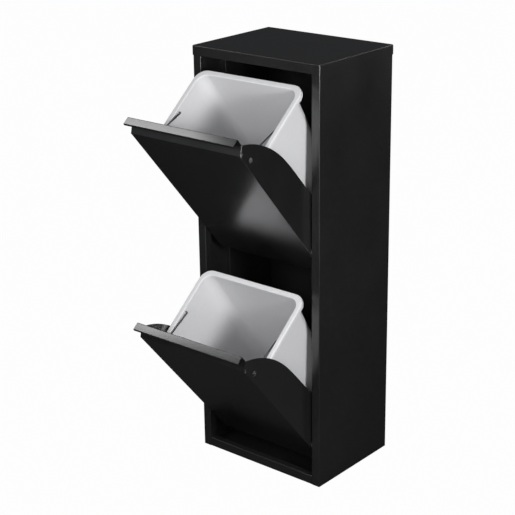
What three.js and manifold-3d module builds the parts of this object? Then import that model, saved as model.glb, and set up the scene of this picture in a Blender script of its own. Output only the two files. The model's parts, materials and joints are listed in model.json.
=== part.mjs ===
// A slim floor-standing waste cabinet in folded sheet steel, with two tilt-out
// doors one above the other. Each door is a folded sheet with a cheek at either
// side, a shelf across its foot and a removable plastic bucket with a wire bail.
// Both doors are shown resting open on their stops.
//
// Millimetres. X runs right, Y runs back, Z runs up from the floor. The origin is
// on the floor at the middle of the cabinet's foot.

import * as THREE from "three";
import { mergeVertices } from "three/addons/utils/BufferGeometryUtils.js";
import Module from "manifold-3d";

const wasm = await Module();
wasm.setup();

// ---------------------------------------------------------------- sizes

// cabinet
const HEIGHT = 885;            // floor to the top of the cover
const WIDTH = 318;             // across the side panels
const DEPTH = 237;             // front face to back face
const SHEET = 1.0;             // steel sheet
const BEND = 1.6;              // outside radius of a fold
const SEAM = 0.3;              // air between pieces that touch
const FRAME_WIDTH = 19.5;      // front face of each side panel
const RETURN_DEPTH = 18;       // fold from the front face back into the cabinet
const BACK_FLANGE = 16;        // fold of each side panel across the back
const COVER_SKIRT = 20;        // height of the cover's rim
const COVER_RADIUS = 2.4;      // rounding of the cover's corners
const RAIL_HEIGHT = 20;        // front rail below the lower door
const RAIL_DEPTH = 16;
const RAIL_LIP = 7;
const FLOOR_UPSTAND = 14;      // turned-up sides of the floor sheet
const STIFFENER_FRONT = 87;    // front face to the upright stiffener in each side
const STIFFENER_WIDTH = 12.5;
const STIFFENER_HEIGHT = 8;
const WALL_HOLE_RADIUS = 4;    // screw holes for fixing to a wall
const WALL_HOLE_DROP = 60;
const WALL_HOLE_SPACING = 200;

// doors, measured in the closed door: up from its bottom edge, back from its face
const OPEN_ANGLE = 40.1;       // tilt on the open stop, degrees
const DOOR_EDGE_GAP = 3.1;     // above the upper door and below the lower one
const DOOR_GAP = 4.8;          // between the doors
const DOOR_SIDE_GAP = 1.8;     // door to frame at either side
const PIVOT_UP = 65.7;
const PIVOT_BACK = 10;
const FOOT_FLANGE = 12;        // fold under the door
const GRIP_HEIGHT = 30;        // recessed grip channel along the top edge
const GRIP_WALL = 17;          // upright back wall of the channel
const GRIP_DEPTH = 17.6;
const GRIP_LIP = 4.5;          // turned-down lip in front of the channel
const CHEEK_HOLE_RADIUS = 5.2;
const CHEEK_HOLE_DROP = 58;
const CHEEK_HOLE_BACK = 14;
const RELIEF_WIDTH = 2.6;      // slit that frees the cheek from the grip's slope
const RELIEF_LENGTH = 11.5;
const CHEEK_NECK_UP = 95;      // where the cheek starts to widen to its foot
const CHEEK_NECK_BACK = 80;
const CHEEK_FOOT_UP = 12;
// rear edge of the cheek from the grip down: drop from the door's top, depth
const CHEEK_EDGE = [
  [23, 23], [31, 30.5], [39, 37], [47, 42.9], [55, 48], [63, 52.4], [73, 57.4],
  [85, 62.6], [98, 67.2], [112, 71], [128, 74.2], [145, 76.2], [165, 77.6], [190, 78.5],
  [215, 79.1], [240, 79.5], [265, 79.8],
];
const SHELF_FRONT_LIP = 14;
const SHELF_REAR_LIP = 11;

// hinge pins, door stops and rests
const PIN_RADIUS = 3;
const PIN_HEAD_RADIUS = 6;
const PIN_HEAD = 1.6;
const PIN_CLEARANCE = 0.3;     // round the pin in its holes
const WASHER_RADIUS = 7.5;
const STOP_RADIUS = 5;
const STOP_FLANGE_RADIUS = 6;
const STOP_REACH = 4;          // past the cheek, towards the middle
const REST_BAR_INSET = 24;     // bar below the shelf, ahead of the cheek's rear corner
const REST_BAR_WIDTH = 20;
const REST_BAR_HEIGHT = 15;
const REST_PAD = 3;            // rubber under the foot of each cheek
const REST_PAD_WIDTH = 13;

// bucket, in the same door measures
const SWING_CLEARANCE = 22.2;  // bucket rim to the cover at the top of its arc
const BUCKET_SIDE_GAP = 3.7;   // rim to door edge at either side
const BUCKET_FRONT = 20;       // door face to the rim, clear of the grip channel
const BUCKET_REAR_GAP = 28.5;  // rim to the cabinet's back face when closed
const BUCKET_WALL = 2;
const RIM_SIDE_BAND = 9;       // rim overhang at the sides and front
const RIM_REAR_BAND = 9.5;
const RIM_LIP = 9;             // rim turned down
const RIM_RADIUS = 26;
const WALL_RADIUS = 24;
const FOOT_RADIUS = 30;
const FOOT_SIDE_TAPER = 17;    // how far the walls draw in from rim to foot
const FOOT_FRONT_TAPER = 8;
const FOOT_REAR_TAPER = 36;
const FOOT_ROUND = 8;          // rounding under the bucket
const SHELF_CLEARANCE = 2.7;   // bucket foot to the shelf's rear lip

// wire bail
const WIRE_RADIUS = 1.5;
const BAIL_DROP = 7.5;         // below the rim's top, behind its lip
const BAIL_BACK = 85;          // behind the rim's front edge
const BAIL_INSET = 5;          // arm to the bucket's inner wall
const BAIL_END = 5.5;          // end of the wire outside the wall
const BAIL_CORNER = 27;
const BAIL_OVER_RIM = 6;       // front bar behind the rim's front edge
const BAIL_REST_GAP = 2.2;      // bar above the rim, its corners touching inside
const UPPER_BAIL_LIFT = 8.5;   // upper bail left standing off its rim, degrees

// rivets that hold the side panels to the back panel
const RIVET_RADIUS = 3.8;
const RIVET_HEAD = 1.0;        // with its seam, level with the cover's rear face
const RIVET_INSET = 7.5;       // from the edge of the side panel
const RIVET_END_DROP = 40;     // top and bottom rivets to the ends of the cabinet

// ---------------------------------------------------------------- materials

const steelFinish = { color: 0x26272a, roughness: 0.5, metalness: 0.15 };
const material = {
  cabinet: new THREE.MeshStandardMaterial(steelFinish),
  door: new THREE.MeshStandardMaterial({ ...steelFinish, color: 0x2b2c2f }),
  bucket: new THREE.MeshStandardMaterial({ color: 0xc4c5c8, roughness: 0.45, metalness: 0 }),
  wire: new THREE.MeshStandardMaterial({ color: 0x4b4c4f, roughness: 0.35, metalness: 0.9 }),
  zinc: new THREE.MeshStandardMaterial({ color: 0x8e9093, roughness: 0.35, metalness: 0.9 }),
  rubber: new THREE.MeshStandardMaterial({ color: 0x161617, roughness: 0.85, metalness: 0 }),
  nylon: new THREE.MeshStandardMaterial({ color: 0xe2e0d8, roughness: 0.5, metalness: 0 }),
};

// ---------------------------------------------------------------- helpers

const object = new THREE.Group();

function add(parent, name, geometry, finish) {
  const mesh = new THREE.Mesh(geometry, finish);
  mesh.name = name;
  parent.add(mesh);
  return mesh;
}

// Puts a flat ring's corners on arcs of the given radius.
function roundCorners(points, radius, closed) {
  const out = [];
  points.forEach((point, i) => {
    const p = new THREE.Vector2(...point);
    if (!closed && (i === 0 || i === points.length - 1)) return out.push(p);
    const a = new THREE.Vector2(...points.at(i - 1)).sub(p);
    const b = new THREE.Vector2(...points[(i + 1) % points.length]).sub(p);
    const half = a.angleTo(b) / 2;
    const setback = Math.min(radius / Math.tan(half), a.length() * 0.45, b.length() * 0.45);
    const from = p.clone().add(a.normalize().multiplyScalar(setback));
    const to = p.clone().add(b.normalize().multiplyScalar(setback));
    const bow = new THREE.QuadraticBezierCurve(from, p, to);
    out.push(from, bow.getPoint(1 / 3), bow.getPoint(2 / 3), to);
  });
  return out;
}

// The flat outline of a folded sheet: the path is one face, and the other is
// offset to its left (or to its right with a negative thickness).
function foldedOutline(path, thickness) {
  const run = roundCorners(path, BEND, false);
  const offset = run.map((p, i) => {
    const before = i ? p.clone().sub(run[i - 1]).normalize() : null;
    const after = i < run.length - 1 ? run[i + 1].clone().sub(p).normalize() : null;
    const a = before ?? after, b = after ?? before;
    const normal = new THREE.Vector2(-a.y - b.y, a.x + b.x).normalize();
    const stretch = Math.sqrt((1 + a.dot(b)) / 2);
    return p.clone().addScaledVector(normal, thickness / stretch);
  });
  return new THREE.Shape([...run, ...offset.reverse()]);
}

// Extrudes along +Z, between two heights.
function upright(shape, low, high) {
  return new THREE.ExtrudeGeometry(shape, { depth: high - low, bevelEnabled: false })
    .translate(0, 0, low);
}

// Extrudes a (back, up) outline along X, between two places.
function across(shape, left, right) {
  const turn = new THREE.Matrix4().set(0, 0, 1, left, 1, 0, 0, 0, 0, 1, 0, 0, 0, 0, 0, 1);
  return new THREE.ExtrudeGeometry(shape, { depth: right - left, bevelEnabled: false })
    .applyMatrix4(turn);
}

// Extrudes an (x, up) outline back along Y, between two places.
function backward(shape, front, back) {
  const turn = new THREE.Matrix4().set(1, 0, 0, 0, 0, 0, -1, back, 0, 1, 0, 0, 0, 0, 0, 1);
  return new THREE.ExtrudeGeometry(shape, { depth: back - front, bevelEnabled: false })
    .applyMatrix4(turn);
}

function block(x0, x1, y0, y1, z0, z1) {
  return new THREE.BoxGeometry(x1 - x0, y1 - y0, z1 - z0)
    .translate((x0 + x1) / 2, (y0 + y1) / 2, (z0 + z1) / 2);
}

// A turned piece on an axis along X: pairs of (place along X, radius).
function turned(profile, y, z, segments = 20) {
  const points = profile.map(([x, r]) => new THREE.Vector2(r, x));
  return new THREE.LatheGeometry(points, segments).rotateZ(-Math.PI / 2).translate(0, y, z);
}

// A rod on an axis along X, for cutting holes.
function rod(x0, x1, y, z, radius, segments = 24) {
  return new THREE.CylinderGeometry(radius, radius, x1 - x0, segments)
    .rotateZ(Math.PI / 2).translate((x0 + x1) / 2, y, z);
}

function toSolid(geometry) {
  const bare = new THREE.BufferGeometry();
  bare.setAttribute("position", geometry.getAttribute("position"));
  bare.setIndex(geometry.index);
  const merged = mergeVertices(bare, 1e-4);
  const corners = merged.index.array;
  const kept = [];
  for (let i = 0; i < corners.length; i += 3) {
    const [a, b, c] = corners.slice(i, i + 3);
    if (a !== b && b !== c && c !== a) kept.push(a, b, c);
  }
  return new wasm.Manifold(new wasm.Mesh({
    numProp: 3,
    vertProperties: new Float32Array(merged.getAttribute("position").array),
    triVerts: new Uint32Array(kept),
  }));
}

function toGeometry(solid) {
  const mesh = solid.getMesh();
  const geometry = new THREE.BufferGeometry();
  geometry.setAttribute("position", new THREE.BufferAttribute(mesh.vertProperties, 3));
  geometry.setIndex(new THREE.BufferAttribute(mesh.triVerts, 1));
  geometry.computeVertexNormals();
  return geometry;
}

function joined(geometries) {
  return toGeometry(wasm.Manifold.union(geometries.map(toSolid)));
}

function cut(geometry, tools) {
  return toGeometry(toSolid(geometry).subtract(wasm.Manifold.union(tools.map(toSolid))));
}

// A closed skin over level rings, from the middle of the first to that of the last.
function lofted(rings) {
  const count = rings[0].length;
  const positions = rings.flat(2);
  const middle = (ring) => ring.reduce((sum, p) => sum.map((v, k) => v + p[k] / count), [0, 0, 0]);
  positions.push(...middle(rings[0]), ...middle(rings.at(-1)));
  const first = rings.length * count, last = first + 1;
  const index = [];
  for (let i = 0; i < count; i++) {
    const j = (i + 1) % count;
    for (let r = 0; r < rings.length - 1; r++) {
      const a = r * count + i, b = r * count + j;
      index.push(a, b, b + count, a, b + count, a + count);
    }
    index.push(first, j, i);
    index.push(last, first - count + i, first - count + j);
  }
  const geometry = new THREE.BufferGeometry();
  geometry.setAttribute("position", new THREE.Float32BufferAttribute(positions, 3));
  geometry.setIndex(index);
  geometry.computeVertexNormals();
  return geometry;
}

// A level rectangle with rounded corners, anticlockwise from above.
function roundedRing(x0, x1, y0, y1, radius, z, steps = 6) {
  const r = Math.min(radius, (x1 - x0) / 2 - 0.1, (y1 - y0) / 2 - 0.1);
  const centres = [[x1 - r, y0 + r, -90], [x1 - r, y1 - r, 0], [x0 + r, y1 - r, 90], [x0 + r, y0 + r, 180]];
  return centres.flatMap(([cx, cy, start]) =>
    Array.from({ length: steps + 1 }, (_, k) => {
      const a = THREE.MathUtils.degToRad(start + (90 * k) / steps);
      return [cx + r * Math.cos(a), cy + r * Math.sin(a), z];
    }));
}

// ---------------------------------------------------------------- cabinet

const cabinet = new THREE.Group();
cabinet.position.y = -DEPTH / 2;      // inside it, Y starts at the front face
object.add(cabinet);

const halfWidth = WIDTH / 2;
const openingHalf = halfWidth - FRAME_WIDTH;
const innerHalf = halfWidth - SHEET - SEAM;
const underCover = HEIGHT - SHEET - COVER_RADIUS;   // clear of the folds inside the cover
const openingTop = HEIGHT - COVER_SKIRT;
const backPanelFront = DEPTH - 2 * SHEET - SEAM;

for (const [name, side] of [["left", -1], ["right", 1]]) {
  const path = [
    [openingHalf, RETURN_DEPTH], [openingHalf, 0], [halfWidth, 0],
    [halfWidth, DEPTH], [halfWidth - BACK_FLANGE, DEPTH],
  ].map(([x, y]) => [side * x, y]);
  const outline = foldedOutline(path, side * SHEET);
  const hingeHoles = [0, 1].map((level) =>
    rod(side * openingHalf - 4, side * openingHalf + 4, PIVOT_BACK, pivotHeight(level),
      PIN_RADIUS + PIN_CLEARANCE));
  add(cabinet, `${name}_side_panel`, cut(upright(outline, 0, underCover), hingeHoles),
    material.cabinet);

  const face = innerHalf - STIFFENER_HEIGHT + SEAM;
  const rear = STIFFENER_FRONT + STIFFENER_WIDTH;
  const channel = [[innerHalf, STIFFENER_FRONT], [face, STIFFENER_FRONT], [face, rear], [innerHalf, rear]];
  add(cabinet, `${name}_stiffener`,
    upright(foldedOutline(channel.map(([x, y]) => [side * x, y]), -side * SHEET),
      FLOOR_UPSTAND + SEAM, underCover),
    material.cabinet);
}

const wallHoles = [-1, 1].map((side) =>
  new THREE.CylinderGeometry(WALL_HOLE_RADIUS, WALL_HOLE_RADIUS, 10, 24)
    .translate((side * WALL_HOLE_SPACING) / 2, backPanelFront, HEIGHT - WALL_HOLE_DROP));
add(cabinet, "back_panel",
  cut(block(-innerHalf, innerHalf, backPanelFront, backPanelFront + SHEET, 0, underCover), wallHoles),
  material.cabinet);

const tray = [[-innerHalf, FLOOR_UPSTAND], [-innerHalf, 0], [innerHalf, 0], [innerHalf, FLOOR_UPSTAND]];
add(cabinet, "floor_panel",
  backward(foldedOutline(tray, SHEET), RETURN_DEPTH + SEAM, backPanelFront - SEAM),
  material.cabinet);

// the front rail is a channel between the returns of the side panels
function frontRail(name, low, high, opening) {
  const far = opening === high ? low : high;
  const lip = opening === high ? -RAIL_LIP : RAIL_LIP;
  const path = [[RETURN_DEPTH, far], [0, far], [0, opening], [RAIL_DEPTH, opening], [RAIL_DEPTH, opening + lip]];
  const thickness = opening === high ? -SHEET : SHEET;
  add(cabinet, name, across(foldedOutline(path, thickness), -openingHalf + SEAM, openingHalf - SEAM),
    material.cabinet);
}
frontRail("bottom_rail", 0, RAIL_HEIGHT, RAIL_HEIGHT);
frontRail("top_rail", openingTop, underCover, openingTop);

// the cover is a shallow lid over the whole body
{
  const over = SEAM + SHEET;
  const ring = (inset, z, radius) =>
    roundedRing(-halfWidth - over + inset, halfWidth + over - inset, -over + inset,
      DEPTH + over - inset, radius, z, 4);
  const edge = COVER_RADIUS;
  const rounding = [0, 30, 60, 90].map((deg) => {
    const a = THREE.MathUtils.degToRad(deg);
    return ring(edge * (1 - Math.cos(a)), HEIGHT - edge * (1 - Math.sin(a)), edge);
  });
  const inside = [ring(edge + SHEET, HEIGHT - SHEET, edge), ring(SHEET, HEIGHT - SHEET - edge / 2, edge - SHEET / 2),
    ring(SHEET, openingTop, edge - SHEET / 2)];
  add(cabinet, "top_cover", lofted([...inside, ring(0, openingTop, edge), ...rounding]), material.cabinet);
}

function doorFoot(level) {
  return RAIL_HEIGHT + DOOR_EDGE_GAP + level * (doorHeight() + DOOR_GAP);
}

function doorHeight() {
  return (HEIGHT - COVER_SKIRT - RAIL_HEIGHT - 2 * DOOR_EDGE_GAP - DOOR_GAP) / 2;
}

function pivotHeight(level) {
  return doorFoot(level) + PIVOT_UP;
}

// ---------------------------------------------------------------- hinges, stops, rests

const doorHalf = openingHalf - DOOR_SIDE_GAP;
const cheekInner = doorHalf - SHEET;
const cheekEdge = SHEET / 2;
const openAngle = THREE.MathUtils.degToRad(OPEN_ANGLE);
const rimBack = DEPTH - BUCKET_REAR_GAP;
const shelfBack = rimBack - RIM_REAR_BAND - FOOT_REAR_TAPER + SHELF_CLEARANCE + SHEET;
const cheekFootBack = shelfBack + SEAM;
const restBarFront = cheekFootBack - REST_BAR_INSET;

// The stop stands on the stiffener, where the open cheek's sloping foot meets it.
function stopHeight(level) {
  const slope = new THREE.Vector2(cheekFootBack - CHEEK_NECK_BACK, CHEEK_FOOT_UP - CHEEK_NECK_UP);
  const normal = new THREE.Vector2(-slope.y, slope.x).normalize();
  const start = new THREE.Vector2(CHEEK_NECK_BACK - PIVOT_BACK, CHEEK_NECK_UP - PIVOT_UP)
    .addScaledVector(normal, STOP_RADIUS + SEAM);
  start.rotateAround(new THREE.Vector2(), openAngle);
  slope.rotateAround(new THREE.Vector2(), openAngle);
  const back = STIFFENER_FRONT + STIFFENER_WIDTH / 2 - PIVOT_BACK;
  return pivotHeight(level) + start.y + (slope.y * (back - start.x)) / slope.x;
}

function restBar(name, top, bottom) {
  const front = restBarFront, rear = restBarFront + REST_BAR_WIDTH;
  const path = [[front, bottom], [front, top], [rear, top], [rear, bottom]];
  add(cabinet, name,
    across(foldedOutline(path, -SHEET), -innerHalf + SHEET + SEAM, innerHalf - SHEET - SEAM),
    material.cabinet);
}

for (const [level, tier] of ["lower", "upper"].entries()) {
  const padTop = doorFoot(level) + cheekEdge - SEAM;
  const barTop = padTop - REST_PAD - SEAM;
  restBar(`${tier}_rest_bar`, barTop, level ? barTop - REST_BAR_HEIGHT : SHEET + SEAM);

  for (const [name, side] of [["left", -1], ["right", 1]]) {
    const z = pivotHeight(level);
    const along = (profile) => profile.map(([x, r]) => [side * x, r]);
    const wayOut = side > 0 ? (list) => list : (list) => [...list].reverse();

    const head = cheekInner - SEAM, tail = openingHalf + SHEET + SEAM;
    const pin = [[head - PIN_HEAD, 0], [head - PIN_HEAD, PIN_HEAD_RADIUS - 1],
      [head - PIN_HEAD + 0.8, PIN_HEAD_RADIUS], [head, PIN_HEAD_RADIUS], [head, PIN_RADIUS],
      [tail, PIN_RADIUS], [tail, PIN_HEAD_RADIUS - 1], [tail + PIN_HEAD, PIN_HEAD_RADIUS - 1],
      [tail + PIN_HEAD, 0]];
    add(cabinet, `${tier}_hinge_pin_${name}`, turned(wayOut(along(pin)), PIVOT_BACK, z), material.zinc);

    const inner = doorHalf + SEAM, outer = openingHalf - SEAM, bore = PIN_RADIUS + PIN_CLEARANCE;
    const washer = [[inner, bore], [inner, WASHER_RADIUS], [outer, WASHER_RADIUS], [outer, bore], [inner, bore]];
    add(cabinet, `${tier}_hinge_washer_${name}`, turned(wayOut(along(washer)), PIVOT_BACK, z),
      material.nylon);

    const base = innerHalf - STIFFENER_HEIGHT;
    const tip = cheekInner - STOP_REACH;
    const buffer = [[tip, 0], [tip, STOP_RADIUS - 1.2], [tip + 1.2, STOP_RADIUS], [base - 2.5, STOP_RADIUS],
      [base - 2.5, STOP_FLANGE_RADIUS], [base, STOP_FLANGE_RADIUS], [base, 0]];
    add(cabinet, `${tier}_stop_${name}`,
      turned(wayOut(along(buffer)), STIFFENER_FRONT + STIFFENER_WIDTH / 2, stopHeight(level)),
      material.rubber);

    const padEdge = (REST_BAR_WIDTH - REST_PAD_WIDTH) / 2;
    const padMiddle = side * (cheekInner + SHEET / 2);
    add(cabinet, `${tier}_rest_pad_${name}`,
      block(padMiddle - REST_PAD_WIDTH / 2, padMiddle + REST_PAD_WIDTH / 2,
        restBarFront + padEdge, restBarFront + REST_BAR_WIDTH - padEdge, padTop - REST_PAD, padTop),
      material.rubber);
  }
}

// ---------------------------------------------------------------- rivets at the back

function rivetHead(name, x, z) {
  const profile = [[0, 0], [RIVET_RADIUS, 0], [RIVET_RADIUS * 0.86, RIVET_HEAD * 0.55],
    [RIVET_RADIUS * 0.5, RIVET_HEAD], [0, RIVET_HEAD]].map(([r, h]) => new THREE.Vector2(r, h));
  add(cabinet, name, new THREE.LatheGeometry(profile, 16).translate(x, DEPTH + SEAM, z), material.zinc);
}

for (const [name, side] of [["left", -1], ["right", 1]]) {
  const x = side * (halfWidth - RIVET_INSET);
  rivetHead(`back_rivet_upper_${name}`, x, HEIGHT - RIVET_END_DROP);
  rivetHead(`back_rivet_middle_${name}`, x, HEIGHT / 2);
  rivetHead(`back_rivet_lower_${name}`, x, RIVET_END_DROP);
}

// ---------------------------------------------------------------- doors

const top = doorHeight();

function doorSheet() {
  const gripFoot = top - GRIP_HEIGHT, gripBack = top - GRIP_WALL;
  const wall = GRIP_DEPTH - SHEET, roof = top - SHEET;
  const path = [[FOOT_FLANGE, 0], [0, 0], [0, gripFoot], [wall, gripBack], [wall, roof],
    [SHEET, roof], [SHEET, top - GRIP_LIP]];
  const panel = across(foldedOutline(path, -SHEET), -doorHalf + SHEET / 2, doorHalf - SHEET / 2);

  const edge = CHEEK_EDGE.map(([drop, back]) => [back, top - drop]).filter(([, up]) => up > CHEEK_NECK_UP + 20);
  // the cheek's plain edges run along the middle of the folded sheet
  const cheek = new THREE.Shape([
    [cheekEdge, cheekEdge], [cheekEdge, gripFoot], [wall + cheekEdge, gripBack - cheekEdge / 2], ...edge,
    [CHEEK_NECK_BACK, CHEEK_NECK_UP], [cheekFootBack, CHEEK_FOOT_UP], [cheekFootBack, cheekEdge],
  ].map((p) => new THREE.Vector2(...p)));
  const cheeks = [[-doorHalf, -cheekInner], [cheekInner, doorHalf]].map(([a, b]) => across(cheek, a, b));

  const slope = new THREE.Vector2(wall, GRIP_HEIGHT - GRIP_WALL).normalize();
  const start = new THREE.Vector2(2 * SHEET, gripFoot - SHEET - RELIEF_WIDTH / 2);
  const end = start.clone().addScaledVector(slope, RELIEF_LENGTH);
  const reliefShape = new THREE.Shape([
    new THREE.Vector2(start.x, start.y), new THREE.Vector2(start.x + 1, start.y - RELIEF_WIDTH),
    new THREE.Vector2(end.x + 1, end.y - RELIEF_WIDTH), new THREE.Vector2(end.x, end.y),
  ]);
  const cuts = [-1, 1].flatMap((side) => {
    const [a, b] = side > 0 ? [cheekInner - 0.5, doorHalf + 1] : [-doorHalf - 1, -cheekInner + 0.5];
    return [
      rod(a, b, PIVOT_BACK, PIVOT_UP, PIN_RADIUS + PIN_CLEARANCE),
      rod(a, b, CHEEK_HOLE_BACK, top - CHEEK_HOLE_DROP, CHEEK_HOLE_RADIUS),
      across(reliefShape, a, b),
    ];
  });
  return cut(joined([panel, ...cheeks]), cuts);
}

const shelfUp = SHEET + SEAM;                  // underside of the shelf
function shelfSheet() {
  const front = SHEET + SEAM, rear = shelfBack;
  const path = [[front, shelfUp + SHELF_FRONT_LIP], [front, shelfUp], [rear, shelfUp], [rear, shelfUp + SHELF_REAR_LIP]];
  return across(foldedOutline(path, SHEET), -cheekInner + SEAM, cheekInner - SEAM);
}

// ---------------------------------------------------------------- buckets

const rimHalf = doorHalf - BUCKET_SIDE_GAP;
const bucketFoot = shelfUp + SHEET + SEAM;
// the rear of the rim swings just clear of the cover above the upper door
const swing = openingTop - SWING_CLEARANCE - pivotHeight(1);
const rimUp = PIVOT_UP + Math.sqrt(swing ** 2 - (rimBack - PIVOT_BACK) ** 2);
const bailPivot = new THREE.Vector2(BUCKET_FRONT + BAIL_BACK, rimUp - BAIL_DROP);

// The bucket's wall at a height: half width, front, back and corner radius.
function bucketWall(up, inset) {
  const k = (rimUp - up) / (rimUp - bucketFoot);
  return [
    -rimHalf + RIM_SIDE_BAND + k * FOOT_SIDE_TAPER + inset,
    rimHalf - RIM_SIDE_BAND - k * FOOT_SIDE_TAPER - inset,
    BUCKET_FRONT + RIM_SIDE_BAND + k * FOOT_FRONT_TAPER + inset,
    rimBack - RIM_REAR_BAND - k * FOOT_REAR_TAPER - inset,
    THREE.MathUtils.lerp(WALL_RADIUS, FOOT_RADIUS, k) - inset,
  ];
}

function bucketShell() {
  const wall = (up, inset) => roundedRing(...bucketWall(up, inset), up);
  const rim = (up, inset) =>
    roundedRing(-rimHalf + inset, rimHalf - inset, BUCKET_FRONT + inset, rimBack - inset, RIM_RADIUS - inset, up);
  const under = rimUp - BUCKET_WALL;
  const lip = rimUp - RIM_LIP;
  const foot = bucketFoot, round = FOOT_ROUND;
  return lofted([
    wall(foot, round), wall(foot + round * 0.13, round * 0.5), wall(foot + round * 0.5, round * 0.13),
    wall(foot + round, 0),
    wall(under, 0), rim(under, BUCKET_WALL), rim(lip, BUCKET_WALL), rim(lip, 0),
    rim(rimUp - 1, 0), rim(rimUp, 1),
    wall(rimUp, BUCKET_WALL - 0.6), wall(rimUp - 1, BUCKET_WALL),
    wall(foot + round, BUCKET_WALL), wall(foot + round * 0.5, BUCKET_WALL + round * 0.2),
    wall(foot + BUCKET_WALL, BUCKET_WALL + round * 0.8),
  ]);
}

function bucketWithHoles() {
  return cut(bucketShell(), [-1, 1].map((side) => {
    const inner = side * (rimHalf - RIM_SIDE_BAND - BUCKET_WALL - 3);
    const outer = side * (rimHalf - BUCKET_WALL - 0.2);
    return rod(Math.min(inner, outer), Math.max(inner, outer), ...bailPivot, WIRE_RADIUS + SEAM, 16);
  }));
}

// The bail lies level, with its ends on the axis at (0, 0) and its bar in front.
const bailReach = bailPivot.x - BUCKET_FRONT - BAIL_OVER_RIM;
const bailRise = BAIL_DROP + WIRE_RADIUS + BAIL_REST_GAP;
const bailArm = Math.hypot(bailReach, bailRise);
const bailRestAngle = Math.atan2(bailRise, bailReach);

function bailWire() {
  const wallOuter = rimHalf - RIM_SIDE_BAND;
  const arm = wallOuter - BUCKET_WALL - BAIL_INSET;
  const r = BAIL_CORNER, e = 2.2 * WIRE_RADIUS;
  const corners = [[-wallOuter - BAIL_END, 0], [-arm, 0], [-arm, -bailArm], [arm, -bailArm], [arm, 0],
    [wallOuter + BAIL_END, 0]];
  const radii = [0, e, r, r, e, 0];
  const route = new THREE.CurvePath();
  let last = new THREE.Vector3(...corners[0], 0);
  for (let i = 1; i < corners.length - 1; i++) {
    const p = new THREE.Vector3(...corners[i], 0);
    const a = new THREE.Vector3(...corners[i - 1], 0).sub(p).setLength(radii[i]).add(p);
    const b = new THREE.Vector3(...corners[i + 1], 0).sub(p).setLength(radii[i]).add(p);
    route.add(new THREE.LineCurve3(last, a));
    route.add(new THREE.QuadraticBezierCurve3(a, p, b));
    last = b;
  }
  route.add(new THREE.LineCurve3(last, new THREE.Vector3(...corners.at(-1), 0)));
  return sweptWire(route);
}

// A round wire along a route: straight runs take one step, bends take four.
function sweptWire(route) {
  const sides = 10;
  const stops = route.curves.flatMap((curve, n) =>
    (curve.isLineCurve3 ? (n ? [] : [0]) : [0, 0.25, 0.5, 0.75, 1])
      .map((u) => [curve.getPoint(u), curve.getTangent(u)]));
  const lastCurve = route.curves.at(-1);
  stops.push([lastCurve.getPoint(1), lastCurve.getTangent(1)]);
  const up = new THREE.Vector3(0, 0, 1);
  return lofted(stops.map(([p, tangent]) => {
    const out = new THREE.Vector3().crossVectors(up, tangent).normalize();
    return Array.from({ length: sides }, (_, k) => {
      const a = (2 * Math.PI * k) / sides;
      const q = p.clone().addScaledVector(out, WIRE_RADIUS * Math.cos(a)).addScaledVector(up, WIRE_RADIUS * Math.sin(a));
      return [q.x, q.y, q.z];
    });
  }));
}

for (const [level, tier] of ["lower", "upper"].entries()) {
  const swingGroup = new THREE.Group();
  swingGroup.position.set(0, PIVOT_BACK, pivotHeight(level));
  swingGroup.rotation.x = openAngle;
  cabinet.add(swingGroup);

  const door = new THREE.Group();
  door.position.set(0, -PIVOT_BACK, -PIVOT_UP);
  swingGroup.add(door);

  add(door, `${tier}_door`, doorSheet(), material.door);
  add(door, `${tier}_bucket_shelf`, shelfSheet(), material.cabinet);
  add(door, `${tier}_bucket`, bucketWithHoles(), material.bucket);

  const bail = add(door, `${tier}_bail`, bailWire(), material.wire);
  bail.position.set(0, ...bailPivot);
  bail.rotation.x = -bailRestAngle - THREE.MathUtils.degToRad(level ? UPPER_BAIL_LIFT : 0);
}

export default object;
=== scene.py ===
import json
from math import atan2, cos, degrees, hypot, radians, sin, tan

import bmesh
import bpy
from mathutils import Matrix, Vector


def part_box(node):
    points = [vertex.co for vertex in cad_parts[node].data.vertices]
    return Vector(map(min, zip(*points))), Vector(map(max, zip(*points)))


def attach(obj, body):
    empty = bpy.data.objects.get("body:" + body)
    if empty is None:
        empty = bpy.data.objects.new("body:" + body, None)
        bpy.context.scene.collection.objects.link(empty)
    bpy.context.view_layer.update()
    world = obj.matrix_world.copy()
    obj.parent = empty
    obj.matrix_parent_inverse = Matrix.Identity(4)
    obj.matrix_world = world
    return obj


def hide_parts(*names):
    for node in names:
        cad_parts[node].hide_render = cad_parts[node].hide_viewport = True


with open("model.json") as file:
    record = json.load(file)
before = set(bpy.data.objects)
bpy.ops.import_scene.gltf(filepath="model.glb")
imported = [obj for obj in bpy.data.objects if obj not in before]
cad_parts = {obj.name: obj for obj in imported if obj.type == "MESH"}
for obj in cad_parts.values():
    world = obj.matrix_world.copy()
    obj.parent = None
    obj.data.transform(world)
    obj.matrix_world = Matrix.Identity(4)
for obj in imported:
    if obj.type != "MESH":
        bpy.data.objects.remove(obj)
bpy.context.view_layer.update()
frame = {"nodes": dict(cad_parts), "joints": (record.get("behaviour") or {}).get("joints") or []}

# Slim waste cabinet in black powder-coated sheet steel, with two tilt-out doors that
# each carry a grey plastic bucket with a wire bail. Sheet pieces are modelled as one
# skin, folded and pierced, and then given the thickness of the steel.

# ------------------------------------------------------------------ sizes, millimetres

MILLIMETRE = Matrix.Scale(0.001, 4)
SHEET = 1.0            # steel
FOLD = 1.6             # outside radius of a fold
TIGHT_FOLD = 0.8       # inside radius of a fold in the grip
CUT_EDGE = 0.22        # softening of cut edges
MOULDED_EDGE = 0.4     # softening of the bucket's edges
WIRE_EDGE = 0.3        # softening of the wire's ends
HOLE_COLLAR = 1.0      # even ring of the skin round each hole
MERGE = 0.0005         # points closer than this become one
RETURN_DEPTH = 18      # fold of the front frame back into the cabinet
BACK_FLANGE = 16       # fold of the side panels across the back
COVER_CORNER = 2.4

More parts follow.
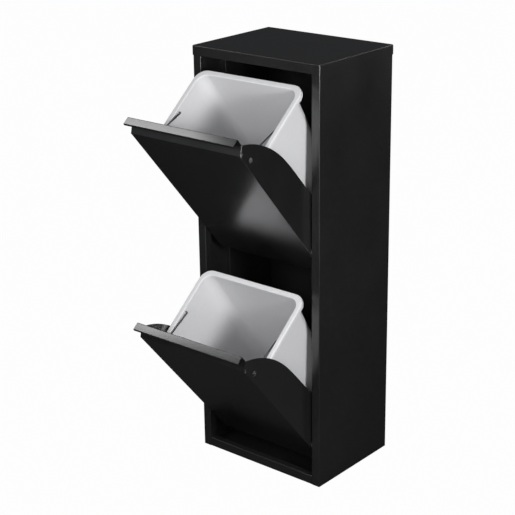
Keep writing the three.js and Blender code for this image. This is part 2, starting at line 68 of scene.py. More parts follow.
# front rails, back from their face
RAIL_OUTER_FLANGE = 18
RAIL_INNER_FLANGE = 16
RAIL_HEM = 7           # turned edge of the inner flange

# doors: up from the bottom edge, back from the face
DOOR_TOP = 417
FOOT_FLANGE = 12
GRIP_FOOT = 30         # below the door's top edge
GRIP_WALL = 17
GRIP_DEPTH = 17.6
GRIP_LIP = 4.5
GRIP_MARGIN = 3.4      # from the grip down to the top of the cheek's fold
GRIP_END_GAP = 0.4     # end of the grip to the outside of the cheek
SLIT_LENGTH = 5.5      # slit in the cheek that frees the grip
SLIT_WIDTH = 1.2
SHELF_MARGIN = 0.3     # cheek behind the bucket's shelf
CHEEK_EDGE = [         # drop from the door's top edge, distance back from its face
    (31, 30.5), (39, 37), (47, 42.9), (55, 48), (63, 52.4), (73, 57.4), (85, 62.6),
    (98, 67.2), (112, 71), (128, 74.2), (145, 76.2), (165, 77.6), (190, 78.5), (215, 79.1),
    (240, 79.5), (265, 79.8),
]
CHEEK_NECK = (80, 95)
CHEEK_FOOT = 12
CHEEK_HOLE = (14, 58)  # back from the face, drop from the top edge
CHEEK_HOLE_RADIUS = 5.2
PIVOT = (10, 65.7)
PIN_HOLE = 3.3

# bucket, in the measures of its door
BUCKET_FRONT, BUCKET_BACK = 20, 208.5
RIM_HALF = 134
RIM_UP = 332.07
BUCKET_FOOT = 2.6
PLASTIC = 2
SIDE_BAND, REAR_BAND = 9, 9.5
RIM_LIP = 9
RIM_CORNER, WALL_CORNER, FOOT_CORNER = 26, 24, 30
SIDE_TAPER, FRONT_TAPER, REAR_TAPER = 17, 8, 36
RIM_ROUND, FOOT_ROUND = 2.4, 7

# wire bail, in the measures of its door
BAIL_PIVOT = (105, 324.57)
WIRE = 1.5             # radius
HOLE_GAP = 0.6         # bucket's hole round the wire
BAR_BEHIND_RIM = 6     # bar to the front edge of the rim it lies on
BAR_ABOVE_RIM = 2.2
BAIL_INSET = 5         # arm to the bucket's inner wall
BAIL_END = 5.5         # end of the wire outside the wall
BAR_BEND, END_BEND = 27, 3.3
UPPER_BAIL_LIFT = 8.5  # degrees that the upper bail stands off its rim
BAIL_REACH = BAIL_PIVOT[0] - BUCKET_FRONT - BAR_BEHIND_RIM
BAIL_RISE = RIM_UP - BAIL_PIVOT[1] + WIRE + BAR_ABOVE_RIM


def cad(node):
    """Lowest and highest corner of a CAD node, in millimetres."""
    low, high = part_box(node)
    return low * 1000, high * 1000


panel_low, panel_high = cad("right_side_panel")
FRONT, BACK = panel_low.y, panel_high.y
HALF_WIDTH, OPENING_HALF = panel_high.x, panel_low.x
PANEL_TOP = panel_high.z
joints = {joint["name"]: joint for joint in frame["joints"]}
OPEN_ANGLE = -joints["upper_door_tilt"]["range_deg"][0]
TIERS = ("lower", "upper")
DOOR_HALF = cad("upper_door")[1].x


def door_place(tier):
    """From the measures of a closed door to its open place in the cabinet."""
    pivot = Vector(joints[tier + "_door_tilt"]["pos_m"]) * 1000
    return (Matrix.Translation(pivot) @ Matrix.Rotation(radians(OPEN_ANGLE), 4, "X")
            @ Matrix.Translation((0, -PIVOT[0], -PIVOT[1])))


# ------------------------------------------------------------------ node groups


def wire_up(tree, pairs):
    """Links each output to the input beside it."""
    for source, target in pairs:
        tree.links.new(source, target)


def new_group(name, inputs, outputs):
    """A shader node group with number inputs (name, default) and number outputs."""
    tree = bpy.data.node_groups.new(name, "ShaderNodeTree")
    tree.interface.new_socket("Position", in_out="INPUT", socket_type="NodeSocketVector")
    for label, value in inputs:
        socket = tree.interface.new_socket(label, in_out="INPUT", socket_type="NodeSocketFloat")
        socket.default_value = value
    for label in outputs:
        tree.interface.new_socket(label, in_out="OUTPUT", socket_type="NodeSocketFloat")
    entry = tree.nodes.new("NodeGroupInput")
    entry.location = (-900, 0)
    leave = tree.nodes.new("NodeGroupOutput")
    leave.location = (600, 0)
    return tree, entry, leave


def add_node(tree, kind, place, **settings):
    """A node at a place in the tree, with settings for its inputs or its own values."""
    node = tree.nodes.new(kind)
    node.location = place
    for key, value in settings.items():
        if key in node.inputs.keys():
            node.inputs[key].default_value = value
        else:
            setattr(node, key, value)
    return node


def surface_grain_group():
    """Fine dimpled texture of a sprayed or moulded skin: height, and a speckle mask."""
    tree, entry, leave = new_group("surface_grain",
                                   [("Grains per metre", 1200), ("Coarse share", 0.35)],
                                   ["Height", "Speckle"])
    fine = add_node(tree, "ShaderNodeTexNoise", (-600, 160), Detail=3.0, Roughness=0.62)
    coarse_scale = add_node(tree, "ShaderNodeMath", (-760, -80), operation="MULTIPLY")
    coarse_scale.inputs[1].default_value = 0.22
    coarse = add_node(tree, "ShaderNodeTexNoise", (-600, -120), Detail=2.0, Roughness=0.5)
    blend = add_node(tree, "ShaderNodeMix", (-300, 60), data_type="FLOAT")
    spread = add_node(tree, "ShaderNodeMapRange", (-60, -120))
    spread.inputs["From Min"].default_value = 0.36
    spread.inputs["From Max"].default_value = 0.66
    wire_up(tree, [
        (entry.outputs["Position"], fine.inputs["Vector"]),
        (entry.outputs["Position"], coarse.inputs["Vector"]),
        (entry.outputs["Grains per metre"], fine.inputs["Scale"]),
        (entry.outputs["Grains per metre"], coarse_scale.inputs[0]),
        (coarse_scale.outputs[0], coarse.inputs["Scale"]),
        (entry.outputs["Coarse share"], blend.inputs["Factor"]),
        (fine.outputs["Fac"], blend.inputs["A"]),
        (coarse.outputs["Fac"], blend.inputs["B"]),
        (blend.outputs["Result"], leave.inputs["Height"]),
        (blend.outputs["Result"], spread.inputs["Value"]),
        (spread.outputs["Result"], leave.inputs["Speckle"]),
    ])
    return tree


def handling_group():
    """Soft cloudy unevenness, and thin short rub marks running one way."""
    tree, entry, leave = new_group("handling_marks",
                                   [("Clouds per metre", 7), ("Marks per metre", 60)],
                                   ["Clouds", "Rubs"])
    clouds = add_node(tree, "ShaderNodeTexNoise", (-600, 160), Detail=3.0, Roughness=0.55)
    cloud_range = add_node(tree, "ShaderNodeMapRange", (-300, 160))
    cloud_range.inputs["From Min"].default_value = 0.3
    cloud_range.inputs["From Max"].default_value = 0.7
    stretch = add_node(tree, "ShaderNodeMapping", (-760, -160))
    stretch.inputs["Scale"].default_value = (1.0, 1.0, 0.12)
    stretch.inputs["Rotation"].default_value = (0.25, 0.18, 0.0)
    rubs = add_node(tree, "ShaderNodeTexNoise", (-560, -160), Detail=4.0, Roughness=0.7)
    rub_range = add_node(tree, "ShaderNodeMapRange", (-300, -160))
    rub_range.inputs["From Min"].default_value = 0.6
    rub_range.inputs["From Max"].default_value = 0.74
    wire_up(tree, [
        (entry.outputs["Position"], clouds.inputs["Vector"]),
        (entry.outputs["Clouds per metre"], clouds.inputs["Scale"]),
        (clouds.outputs["Fac"], cloud_range.inputs["Value"]),
        (cloud_range.outputs["Result"], leave.inputs["Clouds"]),
        (entry.outputs["Position"], stretch.inputs["Vector"]),
        (stretch.outputs["Vector"], rubs.inputs["Vector"]),
        (entry.outputs["Marks per metre"], rubs.inputs["Scale"]),
        (rubs.outputs["Fac"], rub_range.inputs["Value"]),
        (rub_range.outputs["Result"], leave.inputs["Rubs"]),
    ])
    return tree


GRAIN = surface_grain_group()
HANDLING = handling_group()


def new_material(name, colour, speckle_colour, rub_colour, roughness, grains, clouds,
                 coarse=0.35, marks=60, speckle=0.5, rub=0.15, bump=0.15, bump_height=0.0002,
                 metallic=0.0, specular=0.5, ior=1.5):
    """One finish: two-tone grain, cloudy roughness, faint rub marks and a bump."""
    material = bpy.data.materials.new(name)
    material.use_nodes = True
    tree = material.node_tree
    shader = tree.nodes["Principled BSDF"]
    shader.location = (500, 0)
    shader.inputs["Metallic"].default_value = metallic
    shader.inputs["Specular IOR Level"].default_value = specular
    shader.inputs["IOR"].default_value = ior
    place = add_node(tree, "ShaderNodeTexCoord", (-900, 0))
    grain = add_node(tree, "ShaderNodeGroup", (-640, 160), node_tree=GRAIN)
    grain.inputs["Grains per metre"].default_value = grains
    grain.inputs["Coarse share"].default_value = coarse
    handling = add_node(tree, "ShaderNodeGroup", (-640, -160), node_tree=HANDLING)
    handling.inputs["Clouds per metre"].default_value = clouds
    handling.inputs["Marks per metre"].default_value = marks
    speckle_share = add_node(tree, "ShaderNodeMath", (-420, 240), operation="MULTIPLY")
    speckle_share.inputs[1].default_value = speckle
    speckled = add_node(tree, "ShaderNodeMix", (-220, 200), data_type="RGBA")
    speckled.inputs["A"].default_value = (*colour, 1)
    speckled.inputs["B"].default_value = (*speckle_colour, 1)
    rub_share = add_node(tree, "ShaderNodeMath", (-420, -60), operation="MULTIPLY")
    rub_share.inputs[1].default_value = rub
    rubbed = add_node(tree, "ShaderNodeMix", (40, 160), data_type="RGBA")
    rubbed.inputs["B"].default_value = (*rub_colour, 1)
    gloss = add_node(tree, "ShaderNodeMapRange", (40, -120))
    gloss.inputs["To Min"].default_value = roughness[0]
    gloss.inputs["To Max"].default_value = roughness[1]
    relief = add_node(tree, "ShaderNodeBump", (260, -260))
    relief.inputs["Strength"].default_value = bump
    relief.inputs["Distance"].default_value = bump_height
    wire_up(tree, [
        (place.outputs["Object"], grain.inputs["Position"]),
        (place.outputs["Object"], handling.inputs["Position"]),
        (grain.outputs["Speckle"], speckle_share.inputs[0]),
        (speckle_share.outputs[0], speckled.inputs["Factor"]),
        (handling.outputs["Rubs"], rub_share.inputs[0]),
        (rub_share.outputs[0], rubbed.inputs["Factor"]),
        (speckled.outputs["Result"], rubbed.inputs["A"]),
        (rubbed.outputs["Result"], shader.inputs["Base Color"]),
        (handling.outputs["Clouds"], gloss.inputs["Value"]),
        (gloss.outputs["Result"], shader.inputs["Roughness"]),
        (grain.outputs["Height"], relief.inputs["Height"]),
        (relief.outputs["Normal"], shader.inputs["Normal"]),
    ])
    return material


# base colour, speckle, rubs, roughness from and to, grains and clouds per metre
powder_coat = new_material("black_powder_coat", (0.0046, 0.0046, 0.0047), (0.0130, 0.0130, 0.0133),
                           (0.018, 0.018, 0.0184), (0.27, 0.36), 420, 6, speckle=1.0, rub=0.12,
                           bump=0.5, bump_height=0.0006, specular=1.0, ior=1.58, coarse=0.2)
# the doors carry the cabinet's black coat, but with a darker base colour and speckle: painted
# shade for the door faces, which turn downwards when open; its lower roughness and higher IOR make
# the doors glossier
door_coat_with_painted_shade = new_material("black_powder_coat_on_doors_with_painted_shade", (0.0034, 0.0034, 0.0035),
                         (0.0100, 0.0100, 0.0102), (0.018, 0.018, 0.0184), (0.18, 0.25), 420, 6,
                         speckle=1.0, rub=0.12, bump=0.12, bump_height=0.0002, specular=1.0,
                         ior=2.1, coarse=0.2)
bucket_grey = new_material("moulded_grey_plastic", (0.66, 0.66, 0.674), (0.72, 0.72, 0.734),
                           (0.58, 0.58, 0.595), (0.46, 0.58), 500, 9, speckle=0.45, rub=0.10,
                           bump=0.2, bump_height=0.0003, marks=45, specular=0.4)
drawn_wire = new_material("drawn_steel_wire", (0.12, 0.12, 0.125), (0.22, 0.22, 0.225),
                          (0.35, 0.35, 0.36), (0.28, 0.42), 2200, 30, coarse=0.6, speckle=0.5,
                          rub=0.4, marks=400, bump=0.2, metallic=1.0)
zinc = new_material("zinc_plate", (0.42, 0.42, 0.43), (0.56, 0.56, 0.57), (0.66, 0.66, 0.65),
                    (0.26, 0.44), 1800, 60, coarse=0.7, speckle=0.6, rub=0.4, marks=300,
                    bump=0.15, metallic=1.0)
rubber = new_material("black_rubber", (0.012, 0.012, 0.0125), (0.02, 0.02, 0.021),
                      (0.05, 0.05, 0.05), (0.68, 0.86), 1500, 40, speckle=0.6, rub=0.3, bump=0.3)
nylon = new_material("white_nylon", (0.66, 0.64, 0.59), (0.74, 0.72, 0.67), (0.55, 0.53, 0.5),
                     (0.40, 0.55), 1100, 40, speckle=0.5, rub=0.2, bump=0.15)

# ------------------------------------------------------------------ modelling helpers


def new_object(name, data):
    """An object of this data, in the scene."""
    item = bpy.data.objects.new(name, data)
    bpy.context.scene.collection.objects.link(item)
    return item


def face_outwards(bm, side):
    """Turns a skin so that its flat face furthest along side looks that way."""
    bmesh.ops.recalc_face_normals(bm, faces=bm.faces)
    facing = [f for f in bm.faces if abs(f.normal.dot(side)) > 0.7]
    furthest = max(facing, key=lambda f: f.calc_center_median().dot(side))
    if furthest.normal.dot(side) < 0:
        bmesh.ops.reverse_faces(bm, faces=bm.faces)


def add_piece(name, bm, finish, body, nodes, thickness=0.0, edge=CUT_EDGE, place=None,
              edge_angle=40):
    """Makes a finished piece of a mesh in millimetres that stands for the given nodes."""
    bmesh.ops.transform(bm, matrix=MILLIMETRE @ (place or Matrix()), verts=bm.verts)
    for face in bm.faces:
        face.smooth = True
    mesh = bpy.data.meshes.new(name)
    bm.to_mesh(mesh)
    bm.free()
    piece = new_object(name, mesh)
    mesh.materials.append(finish)
    if thickness:
        wall = piece.modifiers.new("wall", "SOLIDIFY")
        wall.thickness = thickness / 1000
        wall.offset = -1
        wall.use_even_offset = True
    soft = piece.modifiers.new("edges", "BEVEL")
    soft.width = edge / 1000
    soft.segments = 2
    soft.limit_method = "ANGLE"
    soft.angle_limit = radians(edge_angle)
    soft.use_clamp_overlap = False
    shade = piece.modifiers.new("shading", "WEIGHTED_NORMAL")
    shade.keep_sharp = True
    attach(piece, body)
    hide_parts(*nodes)


def new_verts(geometry):
    """The points among the geometry that an operator made."""
    return [item for item in geometry if isinstance(item, bmesh.types.BMVert)]


def round_edges(bm, edges, offset, segments):
    """Rounds edges by an arc that starts this far from them."""
    bmesh.ops.bevel(bm, geom=edges, offset=offset, segments=segments, profile=0.5, material=-1,
                    affect="EDGES")


def folded_strip(path, radii, low, high, axis):
    """A sheet folded along straight lines: its section is the path, run along X or Z."""
    order = {"X": lambda p, a: (a, p[0], p[1]), "Z": lambda p, a: (p[0], p[1], a)}[axis]
    bm = bmesh.new()
    verts = [bm.verts.new(order(p, low)) for p in path]
    line = [bm.edges.new(pair) for pair in zip(verts, verts[1:])]
    grown = bmesh.ops.extrude_edge_only(bm, edges=line)["geom"]
    run = Vector(order((0, 0), high - low))
    bmesh.ops.translate(bm, vec=run, verts=new_verts(grown))
    folds = []
    for vert, radius in zip(verts[1:-1], radii):
        if radius:
            along = next(e for e in vert.link_edges if len(e.link_faces) == 2)
            folds.append((along, radius))
    for along, radius in folds:
        offset = radius * tan(along.calc_face_angle() / 2)
        round_edges(bm, [along], offset, 5)
    return bm


def hole_ring(bm, centre, normal, radius, segments=32):
    """A ring of edges for a round hole."""
    turn = normal.to_track_quat("Z", "X").to_matrix().to_4x4()
    ring = bmesh.ops.create_circle(bm, cap_ends=False, radius=radius, segments=segments,
                                   matrix=Matrix.Translation(centre) @ turn)["verts"]
    return list(dict.fromkeys(e for v in ring for e in v.link_edges))


def fill_round_holes(bm, edges, normal, holes):
    """Fills a flat outline, leaving round holes, each with a narrow even collar round it."""
    collars = []
    for centre, radius in holes:
        outer = hole_ring(bm, centre, normal, radius + HOLE_COLLAR)
        collars.append(outer + hole_ring(bm, centre, normal, radius))
        edges = edges + outer
    bmesh.ops.triangle_fill(bm, use_beauty=True, use_dissolve=False, edges=edges, normal=normal)
    for rings in collars:
        bmesh.ops.bridge_loops(bm, edges=rings)


def pierce(bm, face, holes):
    """Cuts round holes, each a centre and radius, through a flat face of the skin."""
    normal = face.normal.copy()
    origin = face.calc_center_median()
    edges = list(face.edges)
    bmesh.ops.delete(bm, geom=[face], context="FACES_ONLY")
    fill_round_holes(bm, edges, normal,
                     [(Vector(centre) - normal * (Vector(centre) - origin).dot(normal), radius)
                      for centre, radius in holes])


def smooth_line(points, steps):
    """Points along a soft curve through the given ones."""
    line = [Vector(p) for p in points]
    line = [line[0] * 2 - line[1]] + line + [line[-1] * 2 - line[-2]]
    out = []
    for a, b, c, d in zip(line, line[1:], line[2:], line[3:]):
        for k in range(steps):
            u = k / steps
            out.append(0.5 * (2 * b + (c - a) * u + (2 * a - 5 * b + 4 * c - d) * u ** 2
                              + (3 * b - a - 3 * c + d) * u ** 3))
    return out + [line[-2]]


# ------------------------------------------------------------------ cabinet

for side_name, side in (("left", -1), ("right", 1)):
    outline = [(OPENING_HALF, FRONT + RETURN_DEPTH), (OPENING_HALF, FRONT), (HALF_WIDTH, FRONT),
               (HALF_WIDTH, BACK), (HALF_WIDTH - BACK_FLANGE, BACK)]
    skin = folded_strip(outline, [FOLD] * 3, 0, PANEL_TOP, "Z")
    pins = [Vector(joints[tier + "_door_tilt"]["pos_m"]) * 1000 for tier in TIERS]
    inner_return = min((f for f in skin.faces if abs(f.normal.x) > 0.95 and f.calc_area() > 500),
                       key=lambda f: f.calc_center_median().x)
    pierce(skin, inner_return, [((OPENING_HALF, pin.y, pin.z), PIN_HOLE) for pin in pins])
    if side < 0:
        bmesh.ops.scale(skin, vec=(-1, 1, 1), verts=skin.verts)
    face_outwards(skin, Vector((side, 0, 0)))
    add_piece(side_name + "_cabinet_wall", skin, powder_coat, "cabinet",
              [side_name + "_side_panel"], SHEET)

cover_low, cover_high = cad("top_cover")
size, middle = cover_high - cover_low, (cover_high + cover_low) / 2
lid = bmesh.new()
bmesh.ops.create_cube(lid, size=1)
bmesh.ops.transform(lid, matrix=Matrix.Translation(middle) @ Matrix.Diagonal((*size, 1)),
                    verts=lid.verts)
bmesh.ops.delete(lid, geom=[f for f in lid.faces if f.normal.z < -0.5], context="FACES_ONLY")
round_edges(lid, [e for e in lid.edges if len(e.link_faces) == 2], COVER_CORNER, 5)
face_outwards(lid, Vector((0, 0, 1)))
add_piece("cabinet_lid", lid, powder_coat, "cabinet", ["top_cover"], SHEET)


def rail_skin(low, high, outer, inner, hem):
    """A front rail from its outer edge to the edge along the opening, turned in behind."""
    face, behind = low.y, low.y + RAIL_INNER_FLANGE
    section = [(face + RAIL_OUTER_FLANGE, outer), (face, outer), (face, inner), (behind, inner),
               (behind, hem)]
    bm = folded_strip(section, [FOLD] * 3, low.x, high.x, "X")
    face_outwards(bm, Vector((0, -1, 0)))
    return bm


low, high = cad("bottom_rail")
add_piece("lower_front_rail", rail_skin(low, high, low.z, high.z, high.z - RAIL_HEM), powder_coat,
          "cabinet", ["bottom_rail"], SHEET)
low, high = cad("top_rail")
add_piece("upper_front_rail", rail_skin(low, high, high.z, low.z, low.z + RAIL_HEM), powder_coat,
          "cabinet", ["top_rail"], SHEET)

# ------------------------------------------------------------------ doors


def shelf_rear():
    """How far back the bucket's shelf reaches, in the measures of a closed door."""
    closed = door_place("upper").inverted()
    shelf = frame["nodes"]["upper_bucket_shelf"].data
    return max((closed @ (v.co * 1000)).y for v in shelf.vertices)


def cheek_outline(grip):
    """The cheek's edge, from the slit below the grip round to the foot: back, up."""
    slope = Vector((grip, GRIP_FOOT - GRIP_WALL)).normalized()
    slit = Vector((2, DOOR_TOP - GRIP_FOOT - SHEET - 1.3))
    slit_end = slit + slope * SLIT_LENGTH
    corner = Vector((grip, DOOR_TOP - GRIP_WALL))
    rear = [(back, DOOR_TOP - drop) for drop, back in CHEEK_EDGE]
    curve = smooth_line([(corner.x + 1.2, corner.y - 0.6), *rear], 3)[:-1]
    shelf_end = shelf_rear() + SHELF_MARGIN
    return [(3, slit.y - SLIT_WIDTH), (slit_end.x + 1, slit_end.y - SLIT_WIDTH), tuple(slit_end),
            (slit_end.x, slit_end.y + 2.6), (corner.x - 0.3, corner.y - 0.7),
            *(tuple(p) for p in curve),
            CHEEK_NECK, (shelf_end, CHEEK_FOOT), (shelf_end, 0.5), (4, 0.5)]


def door_skin():
    """One sheet for the door: face, foot flange, grip channel and the two cheeks."""
    top, grip = DOOR_TOP, GRIP_DEPTH - SHEET
    fold_line = DOOR_HALF - FOLD
    path = [(FOOT_FLANGE, 0), (0, 0), (0, top - GRIP_FOOT - GRIP_MARGIN), (0, top - GRIP_FOOT),
            (grip, top - GRIP_WALL), (grip, top - SHEET), (SHEET, top - SHEET),
            (SHEET, top - GRIP_LIP)]
    radii = [FOLD, 0, FOLD, TIGHT_FOLD, TIGHT_FOLD, TIGHT_FOLD]
    bm = folded_strip(path, radii, 0, fold_line, "X")
    # above the cheek's fold the sheet runs on, nearly to the outside of the cheek
    for vert in bm.verts:
        if vert.co.x > 1 and vert.co.z > top - GRIP_FOOT - GRIP_MARGIN / 2:
            vert.co.x = DOOR_HALF - GRIP_END_GAP
    # the face turns back into the cheek along its upright edge
    upright = max((e for e in bm.edges if e.is_boundary
                   and all(abs(v.co.x - fold_line) < 0.01 and abs(v.co.y) < 0.01
                           for v in e.verts)),
                  key=lambda e: e.calc_length())
    spun = bmesh.ops.spin(bm, geom=[upright, *upright.verts], cent=(fold_line, FOLD, 0),
                          axis=(0, 0, 1), angle=radians(90), steps=5,
                          use_merge=False)["geom_last"]
    ends = sorted(new_verts(spun), key=lambda v: v.co.z)
    outline = [bm.verts.new((DOOR_HALF, back, up)) for back, up in cheek_outline(grip)]
    verts = [ends[1], *outline, ends[0]]
    edges = [bm.edges.new(pair) for pair in zip(verts, verts[1:])]
    edges.append(bm.edges.get((ends[0], ends[1])))
    fill_round_holes(bm, edges, Vector((1, 0, 0)),
                     [(Vector((DOOR_HALF, *PIVOT)), PIN_HOLE),
                      (Vector((DOOR_HALF, CHEEK_HOLE[0], top - CHEEK_HOLE[1])),
                       CHEEK_HOLE_RADIUS)])
    bmesh.ops.mirror(bm, geom=[*bm.verts, *bm.edges, *bm.faces], axis="X", merge_dist=MERGE)
    bmesh.ops.remove_doubles(bm, verts=bm.verts, dist=MERGE)
    face_outwards(bm, Vector((0, -1, 0)))
    return bm


for tier in TIERS:
    add_piece(tier + "_door_sheet", door_skin(), door_coat_with_painted_shade, tier + "_door",
              [tier + "_door"], SHEET, place=door_place(tier))

# ------------------------------------------------------------------ buckets


def wall_section(up, inset):
    """The bucket's outer wall at a height: half width, front, back, corner radius."""
    share = (RIM_UP - up) / (RIM_UP - BUCKET_FOOT)
    return (RIM_HALF - SIDE_BAND - share * SIDE_TAPER - inset,
            BUCKET_FRONT + SIDE_BAND + share * FRONT_TAPER + inset,
            BUCKET_BACK - REAR_BAND - share * REAR_TAPER - inset,
            WALL_CORNER + (FOOT_CORNER - WALL_CORNER) * share - inset)


def rim_section(inset):
    """The rim's outline, drawn in all round: half width, front, back, corner radius."""
    return (RIM_HALF - inset, BUCKET_FRONT + inset, BUCKET_BACK - inset, RIM_CORNER - inset)


def reshape(verts, old, new, up):
    """Moves a level rounded ring from one section to another, keeping its corners round."""
    half, front, back, radius = old
    new_half, new_front, new_back, new_radius = new
    for vert in verts:
        x, y = vert.co.x, vert.co.y
        nearest_x = max(radius - half, min(half - radius, x))
        nearest_y = max(front + radius, min(back - radius, y))
        arc = Vector((x - nearest_x, y - nearest_y)) / radius
        side = 1 if x > 0 else -1
        rear = y > (front + back) / 2
        vert.co = ((new_half - new_radius) * side + arc.x * new_radius,
                   (new_back - new_radius if rear else new_front + new_radius)
                   + arc.y * new_radius,
                   up)


def ring_edges(bm, up):
    """The sharp edges that lie level at a height."""
    return [e for e in bm.edges if all(abs(v.co.z - up) < 0.01 for v in e.verts)
            and len(e.link_faces) == 2 and e.calc_face_angle() > 0.5]


def bucket_skin():
    """The inside of the bucket, over the rim and down its lip."""
    floor_up = BUCKET_FOOT + PLASTIC
    section = wall_section(floor_up, PLASTIC)
    half, front, back, radius = section
    bm = bmesh.new()
    bmesh.ops.create_grid(bm, x_segments=1, y_segments=1, size=0.5)
    bmesh.ops.scale(bm, vec=(half * 2, back - front, 1), verts=bm.verts)
    bmesh.ops.translate(bm, vec=(0, (front + back) / 2, floor_up), verts=bm.verts)
    bmesh.ops.bevel(bm, geom=list(bm.verts), offset=radius, offset_type="OFFSET", segments=8,
                    profile=0.5, material=-1, affect="VERTICES")
    ring = list(bm.edges)
    for target, up in ((wall_section(RIM_UP, PLASTIC), RIM_UP), (rim_section(0), RIM_UP),
                       (rim_section(0), RIM_UP - RIM_LIP)):
        grown = bmesh.ops.extrude_edge_only(bm, edges=ring)["geom"]
        reshape(new_verts(grown), section, target, up)
        ring = [e for e in grown if isinstance(e, bmesh.types.BMEdge) and e.is_boundary]
        section = target
    face_outwards(bm, Vector((0, 0, 1)))
    for side in (-1, 1):
        wall = max((f for f in bm.faces if f.normal.x * side < -0.95 and f.calc_area() > 5000),
                   key=lambda f: f.calc_area())
        pierce(bm, wall, [((wall.calc_center_median().x, *BAIL_PIVOT), WIRE + HOLE_GAP)])
    round_edges(bm, ring_edges(bm, floor_up), FOOT_ROUND, 5)
    round_edges(bm, ring_edges(bm, RIM_UP), RIM_ROUND, 4)
    bmesh.ops.remove_doubles(bm, verts=bm.verts, dist=MERGE)
    face_outwards(bm, Vector((0, 0, 1)))
    return bm


for tier in TIERS:
    add_piece(tier + "_moulded_bucket", bucket_skin(), bucket_grey, tier + "_bucket",
              [tier + "_bucket"], PLASTIC, edge=MOULDED_EDGE,
              place=door_place(tier))

# ------------------------------------------------------------------ bails


def rounded_route(corners, setbacks, steps=8):
    """Corner points of a bent wire, each bend drawn as a soft curve."""
    route = [Vector(corners[0])]
    for before, corner, after, setback in zip(corners, corners[1:], corners[2:], setbacks):
        corner = Vector(corner)
        start = corner + (Vector(before) - corner).normalized() * setback
        end = corner + (Vector(after) - corner).normalized() * setback
        for k in range(steps + 1):
            u = k / steps
            route.append(start * (1 - u) ** 2 + corner * 2 * u * (1 - u) + end * u ** 2)
    return route + [Vector(corners[-1])]


def bail_mesh(angle):
    """The bent wire with its ends in the bucket's walls, its bar at an angle above level."""
    wall = RIM_HALF - SIDE_BAND
    arm, end = wall - PLASTIC - BAIL_INSET, wall + BAIL_END
    length = hypot(BAIL_REACH, BAIL_RISE)
    corners = [(-end, 0, 0), (-arm, 0, 0), (-arm, -length, 0),
               (arm, -length, 0), (arm, 0, 0), (end, 0, 0)]
    route = rounded_route(corners, [END_BEND, BAR_BEND, BAR_BEND, END_BEND])
    curve = bpy.data.curves.new("wire_route", "CURVE")
    curve.dimensions = "3D"
    curve.bevel_depth = WIRE
    curve.bevel_resolution = 3
    curve.use_fill_caps = True
    spline = curve.splines.new("POLY")
    spline.points.add(len(route) - 1)
    for point, place in zip(spline.points, route):
        point.co = (*place, 1)
    holder = new_object("wire_route", curve)
    bpy.context.view_layer.update()
    finished = holder.evaluated_get(bpy.context.evaluated_depsgraph_get())
    mesh = bpy.data.meshes.new_from_object(finished)
    bpy.data.objects.remove(holder)
    bm = bmesh.new()
    bm.from_mesh(mesh)
    bpy.data.meshes.remove(mesh)
    bmesh.ops.remove_doubles(bm, verts=bm.verts, dist=0.001)
    bmesh.ops.recalc_face_normals(bm, faces=bm.faces)
    turn = Matrix.Translation((0, *BAIL_PIVOT)) @ Matrix.Rotation(radians(-angle), 4, "X")
    bmesh.ops.transform(bm, matrix=turn, verts=bm.verts)
    return bm


resting = degrees(atan2(BAIL_RISE, BAIL_REACH))
for tier, angle in (("lower", resting), ("upper", resting + UPPER_BAIL_LIFT)):
    add_piece(tier + "_bail_wire", bail_mesh(angle), drawn_wire, tier + "_bail",
              [tier + "_bail"], edge=WIRE_EDGE, edge_angle=60, place=door_place(tier))

# ------------------------------------------------------------------ pieces kept from the CAD


def finish_of(node):
    """The finish of a small CAD part, from its name."""
    if "pin" in node or "rivet" in node:
        return zinc
    if "washer" in node:
        return nylon
    if "stop" in node or "pad" in node:
        return rubber
    return powder_coat


for node_name, node in frame["nodes"].items():
    if not node.hide_render:
        node.data.materials.clear()
        node.data.materials.append(finish_of(node_name))

# ------------------------------------------------------------------ floor, light and camera

FLOOR_RADIUS = 14      # metres
FLOOR_DROP = 0.001     # floor below the cabinet's foot, metres
FLOOR_GLOW = 0.985     # how far the camera sees plain white in place of the floor
SURROUND = 0.062       # strength of the even light from all round
LENS, SENSOR = 97.65, 36


def floor_paper():
    """Dark matt paper for the light, which the camera alone sees as nearly white."""
    paper = bpy.data.materials.new("pale_floor")
    paper.use_nodes = True
    tree = paper.node_tree
    surface = tree.nodes["Principled BSDF"]
    surface.inputs["Base Color"].default_value = (0.04, 0.04, 0.04, 1)
    surface.inputs["Roughness"].default_value = 0.9
    surface.inputs["Specular IOR Level"].default_value = 0.0
    glow = add_node(tree, "ShaderNodeEmission", (0, 300), Color=(1, 1, 1, 1), Strength=1.0)
    seen = add_node(tree, "ShaderNodeLightPath", (0, 600))
    share = add_node(tree, "ShaderNodeMath", (200, 500), operation="MULTIPLY")
    share.inputs[1].default_value = FLOOR_GLOW
    mix = add_node(tree, "ShaderNodeMixShader", (400, 300))
    wire_up(tree, [
        (seen.outputs["Is Camera Ray"], share.inputs[0]),
        (share.outputs[0], mix.inputs["Fac"]),
        (surface.outputs[0], mix.inputs[1]),
        (glow.outputs[0], mix.inputs[2]),
        (mix.outputs[0], tree.nodes["Material Output"].inputs["Surface"]),
    ])
    return paper


def lay_floor():
    """A wide round floor just under the cabinet."""
    disc = bmesh.new()
    bmesh.ops.create_circle(disc, cap_ends=True, radius=FLOOR_RADIUS, segments=96)
    mesh = bpy.data.meshes.new("studio_floor")
    disc.to_mesh(mesh)
    disc.free()
    mesh.materials.append(floor_paper())
    floor = new_object("studio_floor", mesh)
    floor.location.z = -FLOOR_DROP


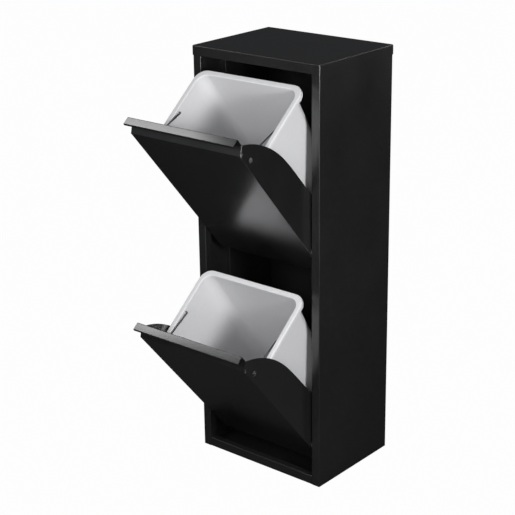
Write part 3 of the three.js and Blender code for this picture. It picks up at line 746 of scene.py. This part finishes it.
def light_surroundings():
    """White behind the cabinet for the camera, and a weak even light from all round."""
    world = bpy.data.worlds.new("studio")
    bpy.context.scene.world = world
    world.use_nodes = True
    tree = world.node_tree
    tree.nodes.clear()
    seen = add_node(tree, "ShaderNodeLightPath", (-600, 200))
    surround = add_node(tree, "ShaderNodeBackground", (-300, 0),
                        Color=(0.92, 0.95, 1.0, 1), Strength=SURROUND)
    white = add_node(tree, "ShaderNodeBackground", (-300, 200),
                     Color=(1, 1, 1, 1), Strength=1.0)
    mix = add_node(tree, "ShaderNodeMixShader", (0, 0))
    out = add_node(tree, "ShaderNodeOutputWorld", (200, 0))
    wire_up(tree, [
        (seen.outputs["Is Camera Ray"], mix.inputs["Fac"]),
        (surround.outputs[0], mix.inputs[1]),
        (white.outputs[0], mix.inputs[2]),
        (mix.outputs[0], out.inputs["Surface"]),
    ])


def soft_box(name, direction, distance, width, height, power, aim=(0, -0.15, 0.5)):
    """A soft rectangular light that hangs in a direction from the point it is aimed at."""
    lamp = bpy.data.lights.new(name, "AREA")
    lamp.shape = "RECTANGLE"
    lamp.size, lamp.size_y, lamp.energy = width, height, power
    holder = new_object(name, lamp)
    away = Vector(direction).normalized()
    holder.location = Vector(aim) + away * distance
    holder.rotation_mode = "QUATERNION"
    holder.rotation_quaternion = away.to_track_quat("Z", "Y")


def place_camera():
    """A long lens to the right of the front and above it, rolled by less than a degree."""
    data = bpy.data.cameras.new("camera")
    data.sensor_width = SENSOR
    data.lens = LENS
    camera = new_object("camera", data)
    azimuth, elevation, roll = radians(40.227), radians(19.964), radians(-0.852)
    target, distance = Vector((0.001337, FRONT / 1000, 0.470374)), 2.822724
    back = Vector((sin(azimuth) * cos(elevation), -cos(azimuth) * cos(elevation),
                   sin(elevation)))
    level = (-back).cross(Vector((0, 0, 1))).normalized()
    upright = back.cross(level)
    right = level * cos(roll) + upright * sin(roll)
    up = upright * cos(roll) - level * sin(roll)
    turn = Matrix((right, up, back)).transposed().to_4x4()
    camera.matrix_world = Matrix.Translation(target + back * distance) @ turn
    bpy.context.scene.camera = camera


lay_floor()
light_surroundings()
soft_box("key_right", (0.93, -0.32, 0.17), 1.6, 0.35, 0.35, 19, aim=(0, -0.15, 0.64))
soft_box("overhead_left", (-0.605, -0.205, 0.761), 1.1, 0.26, 0.60, 0.95,
         aim=(-0.19, -0.33, 0.56))
soft_box("front_fill", (0.50, -0.85, 0.20), 3.0, 1.6, 1.6, 26)
soft_box("front_high", (-0.06, -0.86, 0.46), 3.0, 1.0, 1.0, 42)
soft_box("behind", (0.10, 1.0, 0.25), 3.0, 1.4, 1.4, 34)
place_camera()
bpy.context.scene.view_settings.view_transform = "Standard"
